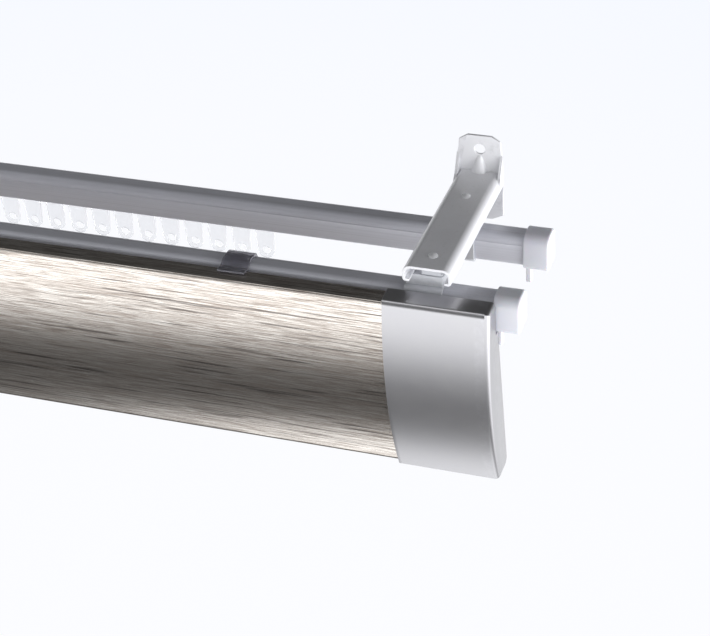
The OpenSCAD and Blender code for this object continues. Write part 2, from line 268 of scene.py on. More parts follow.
# Moves each point of a closed outline inwards by the distance along its own normal.
def insetLoop(loop, distance):
    along = np.roll(loop, -1, 0) - np.roll(loop, 1, 0)
    normal = np.column_stack([along[:, 1], -along[:, 0]])
    normal /= np.maximum(np.linalg.norm(normal, axis=1), 1e-12)[:, None]
    area = np.sum(loop[:, 0] * np.roll(loop[:, 1], -1) - np.roll(loop[:, 0], -1) * loop[:, 1])
    return loop - normal * distance * np.sign(area)


# Places and insets along a length with quarter-round ends: start + e (1 - cos t), inset e (1 - sin t).
def roundedEnds(start, end, edge, steps=3):
    t = np.linspace(0, math.pi / 2, steps + 1)
    step = edge * (1 - np.cos(t)) * np.sign(end - start)
    inset = edge * (1 - np.sin(t))
    return list(zip(start + step, inset)) + list(zip((end - step)[::-1], inset[::-1]))


# Rings of a (y, z) outline at each (x, inset) place.
def alongX(section, places):
    return np.stack([np.insert(insetLoop(section, inset), 0, x, axis=1) for x, inset in places])


# Rings of an (x, y) outline at each (z, inset) place.
def alongZ(section, places):
    return np.stack([np.insert(insetLoop(section, inset), 2, z, axis=1) for z, inset in places])


# Rings (x + r cos t, y + r sin t, z) for each (r, z) of a profile.
def turned(profile, x, y, count=40):
    t = np.linspace(0, 2 * math.pi, count, endpoint=False)
    r, z = np.asarray(profile, float).T
    heights = np.repeat(z[:, None], count, 1)
    return np.stack([x + r[:, None] * np.cos(t), y + r[:, None] * np.sin(t), heights], axis=2)


# A closed surface over a grid of rings: quads between neighbours, and end faces or a join back round.
def skin(rings, closed=False):
    m, n = rings.shape[:2]
    rows = np.arange(m if closed else m - 1)[:, None]
    cols = np.arange(n)[None]
    nextRow, nextCol = (rows + 1) % m, (cols + 1) % n
    quads = np.stack([rows * n + cols, rows * n + nextCol, nextRow * n + nextCol, nextRow * n + cols], axis=2)
    faces = quads.reshape(-1, 4).tolist()
    if not closed:
        faces += [np.arange(n)[::-1].tolist(), (np.arange(n) + (m - 1) * n).tolist()]
    return rings.reshape(-1, 3), faces


def mirroredX(shell):
    points, faces = shell
    return points * (-1, 1, 1), [face[::-1] for face in faces]


# At each vertex, how far its faces turn away from its own normal: the mean of 1 - cos of that angle.
def edgeStrength(mesh):
    total = np.empty(len(mesh.polygons), np.int32)
    mesh.polygons.foreach_get("loop_total", total)
    faceNormal = np.empty(len(mesh.polygons) * 3, np.float32)
    mesh.polygons.foreach_get("normal", faceNormal)
    corner = np.empty(len(mesh.loops), np.int32)
    mesh.loops.foreach_get("vertex_index", corner)
    normal = np.empty(len(mesh.vertices) * 3, np.float32)
    mesh.vertices.foreach_get("normal", normal)
    bend = 1 - np.sum(np.repeat(faceNormal.reshape(-1, 3), total, 0) * normal.reshape(-1, 3)[corner], axis=1)
    sums = np.bincount(corner, bend, len(mesh.vertices))
    return sums / np.maximum(np.bincount(corner, minlength=len(mesh.vertices)), 1)


# Smooth faces, with a sharp edge wherever two faces meet at more than the crease angle.
def finishMesh(work, name, material, crease):
    for face in work.faces:
        face.smooth = True
    for edge in work.edges:
        edge.smooth = edge.calc_face_angle(0.0) < math.radians(crease)
    mesh = bpy.data.meshes.new(name)
    work.to_mesh(mesh)
    work.free()
    strength = mesh.attributes.new("edge", "FLOAT", "POINT")
    strength.data.foreach_set("value", edgeStrength(mesh).astype(np.float32))
    mesh.materials.append(material)
    piece = bpy.data.objects.new(name, mesh)
    bpy.context.scene.collection.objects.link(piece)
    return piece


# One mesh of closed shells, each with its faces turned outwards.
def makePiece(name, shells, material, crease=40):
    mesh = bpy.data.meshes.new(name + "Draft")
    points = np.vstack([shell[0] for shell in shells])
    starts = np.cumsum([0] + [len(shell[0]) for shell in shells[:-1]])
    faces = [[corner + start for corner in face]
             for shell, start in zip(shells, starts.tolist()) for face in shell[1]]
    mesh.from_pydata(points, [], faces)
    work = bmesh.new()
    work.from_mesh(mesh)
    bpy.data.meshes.remove(mesh)
    bmesh.ops.recalc_face_normals(work, faces=work.faces)
    return finishMesh(work, name, material, crease)


# A copy of a CAD node with its doubles merged and every edge over the crease angle rounded off.
def softenedCopy(name, node, width, material, crease=40):
    work = bmesh.new()
    work.from_mesh(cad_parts[node].data)
    bmesh.ops.remove_doubles(work, verts=work.verts, dist=1e-6)
    bmesh.ops.dissolve_limit(work, angle_limit=math.radians(0.8), verts=work.verts, edges=work.edges)
    sharp = [e for e in work.edges if e.is_manifold and e.calc_face_angle(0.0) > math.radians(crease)]
    bmesh.ops.bevel(work, geom=sharp, offset=width, offset_type="OFFSET", segments=3, profile=0.5,
                    affect="EDGES", clamp_overlap=False)
    return finishMesh(work, name, material, crease)


# Fixes a piece to its body and hides the CAD nodes that it stands for.
def place(piece, body, slot, *nodes):
    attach(piece, body)
    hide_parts(*nodes)


# Shared shader groups.

def makeGroup(name, inputs, outputs):
    group = bpy.data.node_groups.new(name, "ShaderNodeTree")
    for socket, kind, value in inputs:
        item = group.interface.new_socket(socket, in_out="INPUT", socket_type=kind)
        if value is not None:
            item.default_value = value
    for socket in outputs:
        group.interface.new_socket(socket, in_out="OUTPUT", socket_type="NodeSocketFloat")
    return group, group.nodes.new("NodeGroupInput").outputs, group.nodes.new("NodeGroupOutput").inputs


def noise(tree, vector, scale, detail=3.0, roughness=0.55):
    node = tree.nodes.new("ShaderNodeTexNoise")
    wire(tree, vector, node.inputs["Vector"])
    if isinstance(scale, (int, float)):
        node.inputs["Scale"].default_value = scale
    else:
        wire(tree, scale, node.inputs["Scale"])
    node.inputs["Detail"].default_value = detail
    node.inputs["Roughness"].default_value = roughness
    return node.outputs["Fac"]


# The vector with each of its parts multiplied by its own number or socket.
def stretched(tree, vector, x, y, z):
    parts = tree.nodes.new("ShaderNodeCombineXYZ")
    for socket, value in zip(parts.inputs, (x, y, z)):
        if isinstance(value, (int, float)):
            socket.default_value = value
        else:
            wire(tree, value, socket)
    node = tree.nodes.new("ShaderNodeVectorMath")
    node.operation = "MULTIPLY"
    wire(tree, vector, node.inputs[0])
    wire(tree, parts.outputs[0], node.inputs[1])
    return node.outputs[0]


# Fine is the pimpled skin of paint or moulded plastic, and Broad the slow cloudiness over it.
def skinGrainGroup():
    group, given, result = makeGroup("skinGrain", [
        ("Vector", "NodeSocketVector", None),
        ("Cells per metre", "NodeSocketFloat", 900.0)], ("Fine", "Broad"))
    wire(group, noise(group, given["Vector"], given["Cells per metre"], 2.0), result["Fine"])
    slow = mathNode(group, "MULTIPLY", given["Cells per metre"], 0.035)
    wire(group, noise(group, given["Vector"], slow, 4.0), result["Broad"])
    return group


# Dust lies where the surface faces up: max(0, 1.6 (nz - 0.4)) times a patchy noise.
def settledDustGroup():
    group, given, result = makeGroup("settledDust", [("Vector", "NodeSocketVector", None),
                                                     ("Amount", "NodeSocketFloat", 0.3)], ("Mask",))
    surface = group.nodes.new("ShaderNodeNewGeometry")
    parts = group.nodes.new("ShaderNodeSeparateXYZ")
    wire(group, surface.outputs["Normal"], parts.inputs[0])
    upward = rangeNode(group, parts.outputs["Z"], 0.4, 1.0)
    patches = rangeNode(group, noise(group, given["Vector"], 55.0, 8.0, 0.7), 0.38, 0.72)
    specks = rangeNode(group, noise(group, given["Vector"], 900.0, 1.0), 0.62, 0.75)
    both = mathNode(group, "ADD", mathNode(group, "MULTIPLY", patches, 0.6), specks, clamp=True)
    lying = mathNode(group, "MULTIPLY", upward, both)
    wire(group, mathNode(group, "MULTIPLY", lying, given["Amount"]), result["Mask"])
    return group


# Edges are where the edge attribute is high, broken up by noise so that the mark comes and goes: rubbed wear
# on most finishes, a painted highlight along the clear clips' edges.
def rubbedAndHighlitEdgeGroup():
    group, given, result = makeGroup("rubbedAndHighlitEdge", [("Vector", "NodeSocketVector", None),
                                                    ("Amount", "NodeSocketFloat", 0.5)], ("Mask",))
    edge = group.nodes.new("ShaderNodeAttribute")
    edge.attribute_name = "edge"
    along = rangeNode(group, edge.outputs["Fac"], 0.03, 0.09)
    broken = rangeNode(group, noise(group, given["Vector"], 260.0, 5.0, 0.65), 0.44, 0.66)
    rubbedAndHighlit = mathNode(group, "MULTIPLY", along, broken)
    wire(group, mathNode(group, "MULTIPLY", rubbedAndHighlit, given["Amount"]), result["Mask"])
    return group


# Noise drawn out along X: Fine hairlines, Lines for a few dark scratches, Patches for shifts of tone.
def brushedGroup():
    group, given, result = makeGroup("brushedAlongX", [
        ("Vector", "NodeSocketVector", None), ("Per metre along", "NodeSocketFloat", 14.0),
        ("Per metre across", "NodeSocketFloat", 900.0)], ("Fine", "Lines", "Patches"))
    along, across = given["Per metre along"], given["Per metre across"]
    hair = stretched(group, given["Vector"], along, across, across)
    wire(group, noise(group, hair, 1.0, 5.0, 0.75), result["Fine"])
    third = mathNode(group, "MULTIPLY", across, 0.33)
    slow = mathNode(group, "MULTIPLY", along, 0.35)
    scratch = noise(group, stretched(group, given["Vector"], slow, third, third), 1.0, 2.0, 0.5)
    wire(group, rangeNode(group, scratch, 0.58, 0.68), result["Lines"])
    wide = mathNode(group, "MULTIPLY", across, 0.4)
    patches = noise(group, stretched(group, given["Vector"], slow, wide, wide), 1.0, 4.0, 0.6)
    wire(group, patches, result["Patches"])
    return group


groups = {"skin": skinGrainGroup(), "dust": settledDustGroup(), "wearAndHighlight": rubbedAndHighlitEdgeGroup(),
          "brushed": brushedGroup()}


def placeGroup(tree, key, coords, **values):
    node = tree.nodes.new("ShaderNodeGroup")
    node.node_tree = groups[key]
    wire(tree, coords, node.inputs["Vector"])
    for name, value in values.items():
        node.inputs[name.replace("_", " ")].default_value = value
    return node.outputs


def newMaterial(name, colour, look):
    material = bpy.data.materials.new(name)
    material.use_nodes = True
    tree = material.node_tree
    shader = tree.nodes["Principled BSDF"]
    shader.inputs["Base Color"].default_value = (*colour, 1.0)
    shader.inputs["Roughness"].default_value = look["roughness"]
    for socket, value in look["constants"].items():
        shader.inputs[socket.replace("_", " ")].default_value = value
    coords = tree.nodes.new("ShaderNodeTexCoord").outputs["Object"]
    return material, tree, shader, coords


def addBump(tree, shader, height, distance):
    bump = tree.nodes.new("ShaderNodeBump")
    bump.inputs["Distance"].default_value = distance
    wire(tree, height, bump.inputs["Height"])
    wire(tree, bump.outputs["Normal"], shader.inputs["Normal"])


# Materials.

# Paint or moulded plastic: pimpled skin, cloudy tone, rubbed wear at the edges (on the clear clips a painted
# highlight instead) and a little dust on top.
def coatedMaterial(name, look):
    material, tree, shader, coords = newMaterial(name, look["colour"], look)
    grain = placeGroup(tree, "skin", coords, Cells_per_metre=look["cells"])
    dust = placeGroup(tree, "dust", coords, Amount=look["dust"])
    wearAndHighlight = placeGroup(tree, "wearAndHighlight", coords, Amount=look["wearAndHighlight"])
    tone = mixNode(tree, rangeNode(tree, grain["Broad"], 0.3, 0.7), look["deep"], look["colour"])
    # Edge colour: rubbed wear, and on the clear clips a painted highlight along the edges.
    wearAndHighlightColour = mixNode(tree, wearAndHighlight["Mask"], tone, look["wearAndHighlightColour"])
    wire(tree, mixNode(tree, dust["Mask"], wearAndHighlightColour, (0.46, 0.44, 0.42)), shader.inputs["Base Color"])
    spread = look["spread"]
    rough = rangeNode(tree, grain["Broad"], 0.3, 0.7, look["roughness"] - spread, look["roughness"] + spread)
    wire(tree, mathNode(tree, "ADD", rough, mathNode(tree, "MULTIPLY", dust["Mask"], 0.3), clamp=True),
         shader.inputs["Roughness"])
    addBump(tree, shader, grain["Fine"], look["pimple"])
    return material


# Metal film brushed along its length: hairlines turn the surface, darken it and roughen it.
def brushedMaterial(name, look):
    material, tree, shader, coords = newMaterial(name, look["light"], look)
    hair = placeGroup(tree, "brushed", coords, Per_metre_along=look["along"], Per_metre_across=look["across"])
    grain = placeGroup(tree, "skin", coords, Cells_per_metre=look["cells"])
    dust = placeGroup(tree, "dust", coords, Amount=look["dust"])
    streak = rangeNode(tree, hair["Fine"], 0.40, 0.60)
    tone = mixNode(tree, streak, look["dark"], look["light"])
    patch = mixNode(tree, rangeNode(tree, hair["Patches"], 0.45, 0.75, 0.0, 0.6), tone, look["warm"])
    blend = mathNode(tree, "MULTIPLY", hair["Lines"], look["lineDepth"])
    lined = mixNode(tree, blend, patch, look["line"])
    wire(tree, mixNode(tree, dust["Mask"], lined, (0.30, 0.28, 0.26)), shader.inputs["Base Color"])
    duller, brighter = look["roughness"] + look["spread"], look["roughness"] - look["spread"]
    rough = rangeNode(tree, streak, 0.0, 1.0, duller, brighter)
    wire(tree, rough, shader.inputs["Roughness"])
    ridges = mathNode(tree, "ADD", hair["Fine"], mathNode(tree, "MULTIPLY", grain["Fine"], look["speckle"]))
    addBump(tree, shader, ridges, look["ridge"])
    return material


finishes = {
    "bracket_paint": {
        "colour": (0.90, 0.90, 0.92), "deep": (0.86, 0.86, 0.89), "wearAndHighlightColour": (0.52, 0.52, 0.54),
        "roughness": 0.34, "spread": 0.06, "cells": 950.0, "pimple": 0.00003, "dust": 0.18, "wearAndHighlight": 0.35,
        "constants": {"Coat_Weight": 0.35, "Coat_Roughness": 0.18}},
    "holder_zinc": {
        "colour": (0.60, 0.61, 0.64), "deep": (0.54, 0.55, 0.58), "wearAndHighlightColour": (0.72, 0.72, 0.74),
        "roughness": 0.36, "spread": 0.08, "cells": 1200.0, "pimple": 0.00002, "dust": 0.2, "wearAndHighlight": 0.5,
        "constants": {"Metallic": 0.35}},
    "rivet_steel": {
        "colour": (0.86, 0.86, 0.88), "deep": (0.80, 0.80, 0.82), "wearAndHighlightColour": (0.93, 0.93, 0.94),
        "roughness": 0.2, "spread": 0.05, "cells": 2400.0, "pimple": 0.00001, "dust": 0.05, "wearAndHighlight": 0.2,
        "constants": {"Metallic": 0.1, "Coat_Weight": 0.8, "Coat_Roughness": 0.1}},
    "rail_cap_plastic": {
        "colour": (0.74, 0.745, 0.79), "deep": (0.70, 0.70, 0.76), "wearAndHighlightColour": (0.84, 0.84, 0.88),
        "roughness": 0.42, "spread": 0.06, "cells": 1500.0, "pimple": 0.000018, "dust": 0.15, "wearAndHighlight": 0.3,
        "constants": {"Subsurface_Weight": 0.12, "Subsurface_Scale": 0.002}},
    "fascia_cap_satin": {
        "colour": (0.49, 0.485, 0.495), "deep": (0.475, 0.47, 0.485), "wearAndHighlightColour": (0.80, 0.80, 0.83),
        "roughness": 0.3, "spread": 0.006, "cells": 2600.0, "pimple": 0.000006, "dust": 0.05, "wearAndHighlight": 0.12,
        "constants": {"Metallic": 0.93}},
    "glider_nylon": {
        "colour": (0.95, 0.96, 0.98), "deep": (0.92, 0.93, 0.97), "wearAndHighlightColour": (0.98, 0.98, 1.0),
        "roughness": 0.35, "spread": 0.05, "cells": 1800.0, "pimple": 0.00001, "dust": 0.0, "wearAndHighlight": 0.2,
        "constants": {"Transmission_Weight": 0.8, "IOR": 1.3, "Alpha": 0.4}},
    # The clip's pale edge colour, at full amount, is a painted highlight along its edges.
    "clip_smoke": {
        "colour": (0.50, 0.49, 0.55), "deep": (0.44, 0.43, 0.49), "wearAndHighlightColour": (0.85, 0.85, 0.9),
        "roughness": 0.12, "spread": 0.03, "cells": 700.0, "pimple": 0.00001, "dust": 0.1, "wearAndHighlight": 1.0,
        "constants": {"Transmission_Weight": 0.8, "IOR": 1.49, "Alpha": 0.9}},
}
brushedFinishes = {
    "fascia_bronze": {
        "light": (0.90, 0.86, 0.80), "dark": (0.30, 0.25, 0.215), "warm": (0.40, 0.33, 0.28),
        "line": (0.07, 0.055, 0.05), "lineDepth": 0.75, "roughness": 0.2, "spread": 0.05,
        "along": 50.0, "across": 2400.0, "cells": 1500.0, "speckle": 0.5, "ridge": 0.000015,
        "dust": 0.1, "constants": {"Metallic": 0.93}},
    "rail_enamel": {
        "light": (0.66, 0.665, 0.72), "dark": (0.61, 0.615, 0.67), "warm": (0.63, 0.635, 0.69),
        "line": (0.40, 0.40, 0.42), "lineDepth": 0.3, "roughness": 0.33, "spread": 0.04,
        "along": 5.0, "across": 1800.0, "cells": 1300.0, "speckle": 0.6, "ridge": 0.000012,
        "dust": 0.15, "constants": {"Metallic": 0.1, "Coat_Weight": 0.25, "Coat_Roughness": 0.2}},
}
materials = {slot: coatedMaterial(slot, look) for slot, look in finishes.items()}
materials.update({slot: brushedMaterial(slot, look) for slot, look in brushedFinishes.items()})
print("materials ready:", len(materials))


# Rails.

railSizes = {"wall": 1.2 * mm, "shoulder": 4 * mm, "foot": 1.6 * mm, "slot": 4.4 * mm,
             "beadDepth": 0.3 * mm, "beadHeight": 1 * mm, "beadGap": 0.5 * mm, "stations": 25}
railLow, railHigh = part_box("rail_front")
railHeight = railHigh.z - railLow.z
railDepth = railHigh.y - railLow.y - railSizes["beadDepth"]
railMiddle = {row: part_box("rail_" + row)[1].y - railDepth / 2 for row in ("rear", "front")}
railTop, railBottom = railHigh.z, railLow.z


# The rail's outer outline at a distance grow outside it, as (y, z).
def railOutline(grow, y=0.0):
    outline = roundBox(railDepth + 2 * grow, railTop + grow, railBottom - grow,
                       railSizes["shoulder"] + grow, railSizes["foot"] + grow)
    return outline + (y, 0)


# Outside from the slot's right edge round to its left, with the bead a half sine, then back inside.
def railSection(s):
    outer = roundBox(railDepth, railTop, railBottom, s["shoulder"], s["foot"], 11)
    inner = roundBox(railDepth - 2 * s["wall"], railTop - s["wall"], railBottom + s["wall"],
                     s["shoulder"] - s["wall"], s["foot"] - s["wall"], 9)[::-1]
    t = np.linspace(0, 1, 9)
    beadTop = railTop - s["shoulder"] - s["beadGap"]
    beadFront = -railDepth / 2 - s["beadDepth"] * np.sin(math.pi * t)
    bead = np.column_stack([beadFront, beadTop - s["beadHeight"] * t])
    rightLip = [(s["slot"] / 2, railBottom + s["wall"] - 0.2 * mm), (s["slot"] / 2, railBottom + 0.2 * mm)]
    leftLip = [(-s["slot"] / 2, railBottom + 0.2 * mm), (-s["slot"] / 2, railBottom + s["wall"] - 0.2 * mm)]
    return np.vstack([rightLip[1:], outer[:33], bead, outer[33:], leftLip, inner, rightLip[:1]])


def buildRail(row):
    low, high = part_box("rail_" + row)
    section = railSection(railSizes) + (railMiddle[row], 0)
    places = [(x, 0) for x in np.linspace(low.x, high.x, railSizes["stations"])]
    rail = makePiece("rail" + row.title(), [skin(alongX(section, places))], materials["rail_enamel"], 50)
    place(rail, "frame", "rail_enamel", "rail_" + row)


for row in ("rear", "front"):
    buildRail(row)
print("rails ready")


# Rail end caps.

capSizes = {"wall": 1.6 * mm, "bore": 0.12 * mm, "edge": 1.1 * mm, "mouthEdge": 0.25 * mm,
            "stopWidth": 4 * mm, "stopThick": 2.6 * mm, "stopEdge": 0.35 * mm, "stopCorner": 1.2 * mm}


# Rings run from the bore's blind end to the mouth, back over the mouth's edge and to the rounded end.
def buildRailCap(row, side):
    s = capSizes
    low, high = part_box(f"rail_cap_{row}_right")
    y = railMiddle[row]
    t = np.linspace(0, math.pi / 2, 6)
    edge, bore = s["mouthEdge"], s["bore"]
    inside = [(high.x - s["wall"], bore), (low.x + edge, bore)]
    mouth = [(low.x + edge * (1 - math.sin(a)), bore + edge * (1 - math.cos(a))) for a in t[1:]]
    lip = [(low.x + edge * (1 - math.cos(a)), s["wall"] - edge * (1 - math.sin(a))) for a in t]
    outer = [(high.x - s["edge"] * (1 - math.sin(a)), s["wall"] - s["edge"] * (1 - math.cos(a))) for a in t]
    places = inside + mouth + lip + outer
    rings = np.stack([np.insert(railOutline(grow, y), 0, x, axis=1) for x, grow in places])
    half = s["stopWidth"] / 2
    drop = filletLoop([(y - half, low.z), (y + half, low.z), (y + half, railBottom - s["wall"] / 2),
                       (y - half, railBottom - s["wall"] / 2)], [s["stopCorner"], s["stopCorner"], 0, 0])
    stop = skin(alongX(drop, roundedEnds(low.x, low.x + s["stopThick"], s["stopEdge"])))
    shells = [skin(rings), stop]
    if side == "left":
        shells = [mirroredX(shell) for shell in shells]
    cap = makePiece(f"railCap{row.title()}{side.title()}", shells, materials["rail_cap_plastic"])
    place(cap, "frame", "rail_cap_plastic", f"rail_cap_{row}_{side}")


for row in ("rear", "front"):
    for side in ("left", "right"):
        buildRailCap(row, side)
print("rail end caps ready")


# Wall brackets, holders and rivets.

bracketSizes = {"edge": 0.28 * mm, "sheet": 1.5 * mm, "armHeight": 9 * mm}
holderSizes = {"sheet": 1.5 * mm, "gap": 0.1 * mm, "lip": 2.6 * mm, "edge": 0.3 * mm, "blockDepth": 8 * mm,
               "blockEdge": 1 * mm, "blockTop": 0.5 * mm, "blockGap": 0.4 * mm, "stemWidth": 11 * mm,
               "stemDepth": 7 * mm, "stemTop": 0.05 * mm, "flare": 0.6 * mm}
rivetSizes = {"head": 2.5 * mm, "rise": 1.3 * mm, "rim": 0.25 * mm, "shank": 1.5 * mm, "depth": 6 * mm}
bracketX = (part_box("bracket_right")[0].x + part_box("bracket_right")[1].x) / 2
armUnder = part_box("rail_holder_rear_right")[1].z
armTop = armUnder + bracketSizes["sheet"]


def buildBracket(side):
    edge, paint = bracketSizes["edge"], materials["bracket_paint"]
    bracket = softenedCopy("bracket" + side.title(), "bracket_" + side, edge, paint)
    weighted = bracket.modifiers.new("evenShading", "WEIGHTED_NORMAL")
    weighted.keep_sharp = True
    place(bracket, "frame", "bracket_paint", "bracket_" + side)


# A block with round upright edges, flared out at its foot and rounded in at its top by the given edges.
def uprightBlock(x, y, width, depth, low, high, edges):
    w, d = width / 2, depth / 2
    outline = filletLoop([(x - w, y - d), (x + w, y - d), (x + w, y + d), (x - w, y + d)], edges["upright"])
    t = np.linspace(0, math.pi / 2, 6)
    flare, top = edges["flare"], edges["top"]
    foot = [(low + flare * (1 - math.cos(a)), -flare * (1 - math.sin(a))) for a in t]
    head = [(high - top * (1 - math.sin(a)), top * (1 - math.cos(a))) for a in t]
    return skin(alongZ(outline, foot + head))


# A C-shaped strap round the rail, open below between its lips, under a block with a stem up to the arm.
def buildHolder(row, side):
    s = holderSizes
    x = bracketX if side == "right" else -bracketX
    y = railMiddle[row]
    low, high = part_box(f"rail_holder_{row}_{side}")
    mouth = railDepth / 2 - s["lip"]
    outside = railOutline(s["gap"] + s["sheet"])
    inside = railOutline(s["gap"] + 0.02 * mm)[::-1]
    outside = np.vstack([[(mouth, outside[0][1])], outside, [(-mouth, outside[0][1])]])
    inside = np.vstack([[(-mouth, inside[0][1])], inside, [(mouth, inside[0][1])]])
    strap = skin(alongX(np.vstack([outside, inside]) + (y, 0), roundedEnds(low.x, high.x, s["edge"])))
    seat = railTop + s["gap"] + s["sheet"] - 0.1 * mm
    lips = armTop - bracketSizes["armHeight"] - s["blockGap"]
    blockEdges = {"upright": s["blockEdge"], "flare": 0.0, "top": s["blockTop"]}
    stemEdges = {"upright": s["blockEdge"], "flare": s["flare"], "top": s["stemTop"]}
    block = uprightBlock((low.x + high.x) / 2, y, high.x - low.x, s["blockDepth"], seat, lips, blockEdges)
    stem = uprightBlock(x, y, s["stemWidth"], s["stemDepth"], lips - 0.1 * mm, high.z, stemEdges)
    name = f"railHolder{row.title()}{side.title()}"
    holder = makePiece(name, [strap, block, stem], materials["holder_zinc"])
    place(holder, "frame", "holder_zinc", f"rail_holder_{row}_{side}")


# A dome z = rise (1 - (r / head)^2) over a small rounded rim, on a shank.
def rivetShell(x, y):
    s = rivetSizes
    r = s["head"] * np.linspace(0.02, 1, 12)
    dome = np.column_stack([r, armTop + s["rim"] + (s["rise"] - s["rim"]) * (1 - (r / s["head"]) ** 2)])
    rim = [(s["head"], armTop), (s["shank"], armTop - 0.01 * mm), (s["shank"], armTop - s["depth"])]
    return skin(turned(np.vstack([dome, rim]), x, y))


for side in ("left", "right"):
    buildBracket(side)
    for row in ("rear", "front"):
        buildHolder(row, side)
rivets = makePiece("holderRivets", [rivetShell(x, railMiddle[row]) for x in (-bracketX, bracketX)
                                    for row in ("rear", "front")], materials["rivet_steel"])
place(rivets, "frame", "rivet_steel", "holder_rivets")
print("brackets, holders and rivets ready")


# Fascia and its end caps.

fasciaSizes = {"radius": 220 * mm, "crown": 26 * mm, "thick": 1.8 * mm, "shelf": 9 * mm, "fall": 1.1 * mm,
               "hook": 3.5 * mm, "corner": 0.35 * mm, "edge": 0.25 * mm}
fasciaCapSizes = {"wall": 1.8 * mm, "gap": 0.1 * mm, "foot": 13 * mm, "back": 15 * mm, "plate": 2.7 * mm,
                  "edge": 2.5 * mm, "mouthEdge": 0.25 * mm, "corner": 0.6 * mm}
fasciaLow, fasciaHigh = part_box("fascia")
crownY = fasciaLow.y
fasciaTop = fasciaHigh.z - fasciaSizes["fall"]
fasciaBottom = fasciaLow.z
crownZ = fasciaTop - fasciaSizes["crown"]
centreY = crownY + fasciaSizes["radius"]


# Where the curved face of this radius is at height z: centre - sqrt(radius^2 - (z - crown)^2).
def faceY(z, radius):
    return centreY - np.sqrt(radius ** 2 - (z - crownZ) ** 2)


def faceLine(radius, top, bottom, count):
    z = np.linspace(top, bottom, count)
    return np.column_stack([faceY(z, radius), z])


shelfFrontY = faceY(fasciaTop, fasciaSizes["radius"])
shelfBackY = shelfFrontY + fasciaSizes["shelf"]
shelfTop = fasciaHigh.z


# Down the curved face, round its foot, up inside, under the shelf, round the hook, back over the shelf.
def fasciaSection(s):
    corner, thick = s["corner"], s["thick"]
    face = faceLine(s["radius"], fasciaTop - corner, fasciaBottom + 0.5 * mm, 90)
    back = faceLine(s["radius"] - thick, fasciaBottom + 0.5 * mm, fasciaTop - thick - 1 * mm, 60)
    foot = filletLoop([face[-1], (face[-1][0], fasciaBottom), (back[0][0], fasciaBottom), back[0]],
                      [0, 0.4 * mm, 0.4 * mm, 0])
    hookBottom = shelfTop - thick - s["hook"]
    under = filletLoop([(back[-1][0], fasciaTop - thick), (shelfBackY - thick, shelfTop - thick),
                        (shelfBackY - thick, hookBottom), (shelfBackY, hookBottom),
                        (shelfBackY, shelfTop), (shelfFrontY, fasciaTop)],
                       [0.6 * mm, 0.5 * mm, 0.5 * mm, 0.5 * mm, 0.3 * mm, corner])
    return np.vstack([face[1:-1], foot, back[1:-1], under])


def buildFascia():
    places = roundedEnds(fasciaLow.x, fasciaHigh.x, fasciaSizes["edge"])
    middle = [(x, 0) for x in np.linspace(fasciaLow.x, fasciaHigh.x, 31)[1:-1]]
    places = places[:4] + middle + places[4:]
    shell = skin(alongX(fasciaSection(fasciaSizes), places))
    fascia = makePiece("fasciaPanel", [shell], materials["fascia_bronze"])
    place(fascia, "frame", "fascia_bronze", "fascia")


# The cap's sheet in section: over the face, back under the foot, up inside, and out over the shelf.
def fasciaCapWall(s):
    lift = s["gap"] + s["wall"]
    outer, inner = fasciaSizes["radius"] + lift, fasciaSizes["radius"] + s["gap"]
    top, bottom, backTop = fasciaTop + lift, fasciaBottom - lift, shelfTop + lift
    face = faceLine(outer, top - 0.6 * mm, bottom + 0.6 * mm, 90)
    inside = faceLine(inner, fasciaBottom - s["gap"], top - s["wall"] - 0.5 * mm, 60)
    footY = faceY(bottom, outer) + s["foot"]
    foot = filletLoop([face[-1], (faceY(bottom, outer), bottom), (footY, bottom), (footY, bottom + s["wall"]),
                       inside[0], inside[1]], [0, 0.5 * mm, 0.4 * mm, 0.4 * mm, 0.1 * mm, 0])
    shelf = filletLoop([(inside[-1][0], top - s["wall"]), (shelfBackY, backTop - s["wall"]),
                        (shelfBackY, backTop), (faceY(top, outer), top)],
                       [0.3 * mm, 0.3 * mm, 0.3 * mm, s["corner"]])
    return np.vstack([face[1:-1], foot, inside[2:-1], shelf])


# The end plate: the same face and foot less the inset, up to the notch under the rail and the shelf.
def fasciaCapEnd(s, inset):
    lift = s["gap"] + s["wall"] - inset
    outer = fasciaSizes["radius"] + lift
    top, bottom, backTop = fasciaTop + lift, fasciaBottom - lift, shelfTop + lift
    face = faceLine(outer, top - 0.6 * mm, bottom + 0.6 * mm, 90)
    notchZ = railBottom - capSizes["wall"] - 0.6 * mm
    footY = faceY(bottom, outer) + s["foot"]
    rest = filletLoop([face[-1], (faceY(bottom, outer), bottom), (footY, bottom),
                       (crownY + s["back"], notchZ), (shelfBackY, notchZ), (shelfBackY, backTop),
                       (faceY(top, outer), top)],
                      [0, 0.5 * mm, 2.5 * mm, 1.2 * mm, 0.3 * mm, 0.3 * mm, s["corner"]])
    return np.vstack([face[1:-1], rest])


# The sheet runs from its open mouth into the end plate, whose outer edge is a quarter round.
def buildFasciaCap(side):
    s = fasciaCapSizes
    low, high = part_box("fascia_cap_right")
    wall = roundedEnds(low.x, high.x, s["mouthEdge"])[:4]
    wall += [(x, 0) for x in np.linspace(low.x + 2 * mm, high.x - s["plate"] + 0.02 * mm, 9)]
    t = np.linspace(0, math.pi / 2, 8)
    plate = [(high.x - s["plate"], 0)]
    plate += [(high.x - s["edge"] * (1 - math.sin(a)), s["edge"] * (1 - math.cos(a))) for a in t]
    ends = np.stack([np.insert(fasciaCapEnd(s, inset), 0, x, axis=1) for x, inset in plate])
    shells = [skin(alongX(fasciaCapWall(s), wall)), skin(ends)]
    if side == "left":
        shells = [mirroredX(shell) for shell in shells]
    cap = makePiece("fasciaCap" + side.title(), shells, materials["fascia_cap_satin"])
    place(cap, "frame", "fascia_cap_satin", "fascia_cap_" + side)


